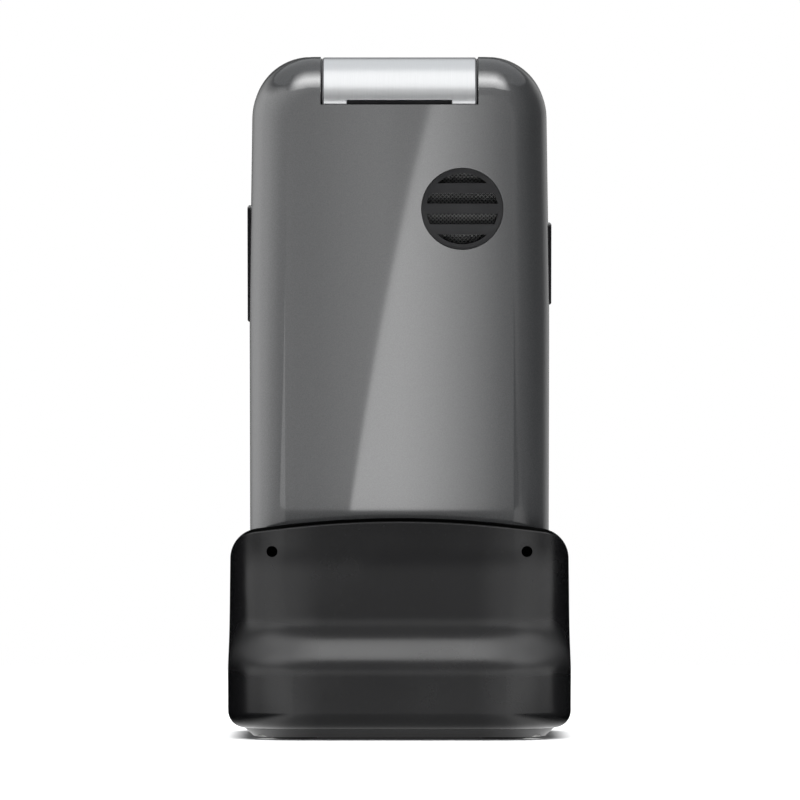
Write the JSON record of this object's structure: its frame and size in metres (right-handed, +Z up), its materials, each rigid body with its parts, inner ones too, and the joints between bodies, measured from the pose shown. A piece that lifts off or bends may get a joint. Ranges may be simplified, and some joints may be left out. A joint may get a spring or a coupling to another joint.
{
  "type": "flip phone in charging dock",
  "caption": "Closed clamshell mobile phone standing in a desk charging dock, with keypad, sprung keys, folding lid and hinge barrel.",
  "frame": {"origin": "centre of the dock's footprint, on the surface it stands on", "axes": "+Z up; -Y faces the side that shows the phone's back cover, as in the picture; +Y is the lid's side; +X is the side with the speaker grille"},
  "size_m": [0.0624, 0.044, 0.1236],
  "materials": {
    "grey_cover": "grey metallic paint under a clear gloss coat",
    "deck": "satin black",
    "dock_black": "glossy black",
    "dock_base": "satin black",
    "key_black": "satin black",
    "key_green": "satin green",
    "key_red": "satin red",
    "barrel_metal": "bright satin metal",
    "steel": "plain steel",
    "contact": "gold-plated",
    "bush": "plain pale plastic",
    "grille": "satin black",
    "mesh": "black woven wire",
    "driver": "black cone and frame",
    "battery_wrap": "printed film over a metal can",
    "board": "green solder mask",
    "dome_film": "clear film over metal domes",
    "screen": "dark display glass",
    "window": "clear tinted window",
    "camera_black": "glossy black with a glass lens",
    "lamp": "pale diffuser",
    "pilot_lamp": "green diffuser",
    "rubber": "soft black rubber",
    "earpiece_trim": "grey trim over a black mesh"
  },
  "bodies": {
    "dock": {"dock_shell": "dock_black", "dock_base_plate": "dock_base", "dock_feet": "rubber", "dock_screws": "steel", "dock_ballast": "steel", "dock_board": "board", "dock_power_socket": "steel", "dock_pin_block": "dock_base", "dock_light": "pilot_lamp"},
    "phone": {"back_cover": "grey_cover", "front_cover": "deck", "speaker_grille": "grille", "speaker_mesh": "mesh", "loudspeaker": "driver", "battery": "battery_wrap", "main_board": "board", "base_screws": "steel", "dome_sheet": "dome_film", "power_socket": "steel", "charge_pads": "contact", "vibration_motor": "steel", "hinge_module": "steel", "hinge_bush": "bush"},
    "lid": {"lid_inner_cover": "deck", "lid_outer_cover": "grey_cover", "hinge_barrel": "barrel_metal", "hinge_shaft": "steel", "hinge_pin": "steel", "main_display": "screen", "main_window": "window", "outer_display": "screen", "outer_window": "window", "camera": "camera_black", "camera_light": "lamp", "earpiece": "earpiece_trim", "lid_bumpers": "rubber", "lid_screws": "steel"},
    "key_star": {"key_star": "key_black"},
    "key_0": {"key_0": "key_black"},
    "key_hash": {"key_hash": "key_black"},
    "key_7": {"key_7": "key_black"},
    "key_8": {"key_8": "key_black"},
    "key_9": {"key_9": "key_black"},
    "key_4": {"key_4": "key_black"},
    "key_5": {"key_5": "key_black"},
    "key_6": {"key_6": "key_black"},
    "key_1": {"key_1": "key_black"},
    "key_2": {"key_2": "key_black"},
    "key_3": {"key_3": "key_black"},
    "key_call": {"key_call": "key_green"},
    "key_end": {"key_end": "key_red"},
    "key_soft_left": {"key_soft_left": "key_black"},
    "key_soft_right": {"key_soft_right": "key_black"},
    "key_ok": {"key_ok": "key_black"},
    "nav_ring": {"nav_ring": "key_black"},
    "volume_rocker": {"volume_rocker": "key_black"},
    "side_key": {"side_key": "key_black"},
    "charge_pin_left": {"charge_pin_left": "contact"},
    "charge_pin_right": {"charge_pin_right": "contact"}
  },
  "joints": [
    {"name": "phone_lift", "type": "slide", "parent": "dock", "child": "phone", "axis": [0, -0.1045, 0.9945], "range_m": [0, 0.035]},
    {"name": "lid_hinge", "type": "hinge", "parent": "phone", "child": "lid", "pos_m": [0, -0.01443, 0.117], "axis": [1, 0, 0], "range_deg": [0, 160]},
    {"name": "key_star_press", "type": "slide", "parent": "phone", "child": "key_star", "axis": [0, 0.9945, 0.1045], "range_m": [-0.0003, 0], "stiffness_N_per_m": 250},
    {"name": "key_0_press", "type": "slide", "parent": "phone", "child": "key_0", "axis": [0, 0.9945, 0.1045], "range_m": [-0.0003, 0], "stiffness_N_per_m": 250},
    {"name": "key_hash_press", "type": "slide", "parent": "phone", "child": "key_hash", "axis": [0, 0.9945, 0.1045], "range_m": [-0.0003, 0], "stiffness_N_per_m": 250},
    {"name": "key_7_press", "type": "slide", "parent": "phone", "child": "key_7", "axis": [0, 0.9945, 0.1045], "range_m": [-0.0003, 0], "stiffness_N_per_m": 250},
    {"name": "key_8_press", "type": "slide", "parent": "phone", "child": "key_8", "axis": [0, 0.9945, 0.1045], "range_m": [-0.0003, 0], "stiffness_N_per_m": 250},
    {"name": "key_9_press", "type": "slide", "parent": "phone", "child": "key_9", "axis": [0, 0.9945, 0.1045], "range_m": [-0.0003, 0], "stiffness_N_per_m": 250},
    {"name": "key_4_press", "type": "slide", "parent": "phone", "child": "key_4", "axis": [0, 0.9945, 0.1045], "range_m": [-0.0003, 0], "stiffness_N_per_m": 250},
    {"name": "key_5_press", "type": "slide", "parent": "phone", "child": "key_5", "axis": [0, 0.9945, 0.1045], "range_m": [-0.0003, 0], "stiffness_N_per_m": 250},
    {"name": "key_6_press", "type": "slide", "parent": "phone", "child": "key_6", "axis": [0, 0.9945, 0.1045], "range_m": [-0.0003, 0], "stiffness_N_per_m": 250},
    {"name": "key_1_press", "type": "slide", "parent": "phone", "child": "key_1", "axis": [0, 0.9945, 0.1045], "range_m": [-0.0003, 0], "stiffness_N_per_m": 250},
    {"name": "key_2_press", "type": "slide", "parent": "phone", "child": "key_2", "axis": [0, 0.9945, 0.1045], "range_m": [-0.0003, 0], "stiffness_N_per_m": 250},
    {"name": "key_3_press", "type": "slide", "parent": "phone", "child": "key_3", "axis": [0, 0.9945, 0.1045], "range_m": [-0.0003, 0], "stiffness_N_per_m": 250},
    {"name": "key_call_press", "type": "slide", "parent": "phone", "child": "key_call", "axis": [0, 0.9945, 0.1045], "range_m": [-0.0003, 0], "stiffness_N_per_m": 250},
    {"name": "key_end_press", "type": "slide", "parent": "phone", "child": "key_end", "axis": [0, 0.9945, 0.1045], "range_m": [-0.0003, 0], "stiffness_N_per_m": 250},
    {"name": "key_soft_left_press", "type": "slide", "parent": "phone", "child": "key_soft_left", "axis": [0, 0.9945, 0.1045], "range_m": [-0.0003, 0], "stiffness_N_per_m": 250},
    {"name": "key_soft_right_press", "type": "slide", "parent": "phone", "child": "key_soft_right", "axis": [0, 0.9945, 0.1045], "range_m": [-0.0003, 0], "stiffness_N_per_m": 250},
    {"name": "key_ok_press", "type": "slide", "parent": "phone", "child": "key_ok", "axis": [0, 0.9945, 0.1045], "range_m": [-0.0003, 0], "stiffness_N_per_m": 250},
    {"name": "nav_ring_rock", "type": "hinge", "parent": "phone", "child": "nav_ring", "pos_m": [0, -0.00785, 0.0831], "axis": [1, 0, 0], "range_deg": [-1, 1], "stiffness_Nm_per_rad": 0.03},
    {"name": "volume_rock", "type": "hinge", "parent": "phone", "child": "volume_rocker", "pos_m": [-0.0256, -0.00959, 0.08624], "axis": [0, 0.9945, 0.1045], "range_deg": [-1.5, 1.5], "stiffness_Nm_per_rad": 0.03},
    {"name": "side_key_press", "type": "slide", "parent": "phone", "child": "side_key", "axis": [1, 0, 0], "range_m": [-0.00035, 0], "stiffness_N_per_m": 250},
    {"name": "charge_pin_left_press", "type": "slide", "parent": "dock", "child": "charge_pin_left", "axis": [0, -0.1045, 0.9945], "range_m": [-0.0008, 0], "stiffness_N_per_m": 200},
    {"name": "charge_pin_right_press", "type": "slide", "parent": "dock", "child": "charge_pin_right", "axis": [0, -0.1045, 0.9945], "range_m": [-0.0008, 0], "stiffness_N_per_m": 200}
  ]
}
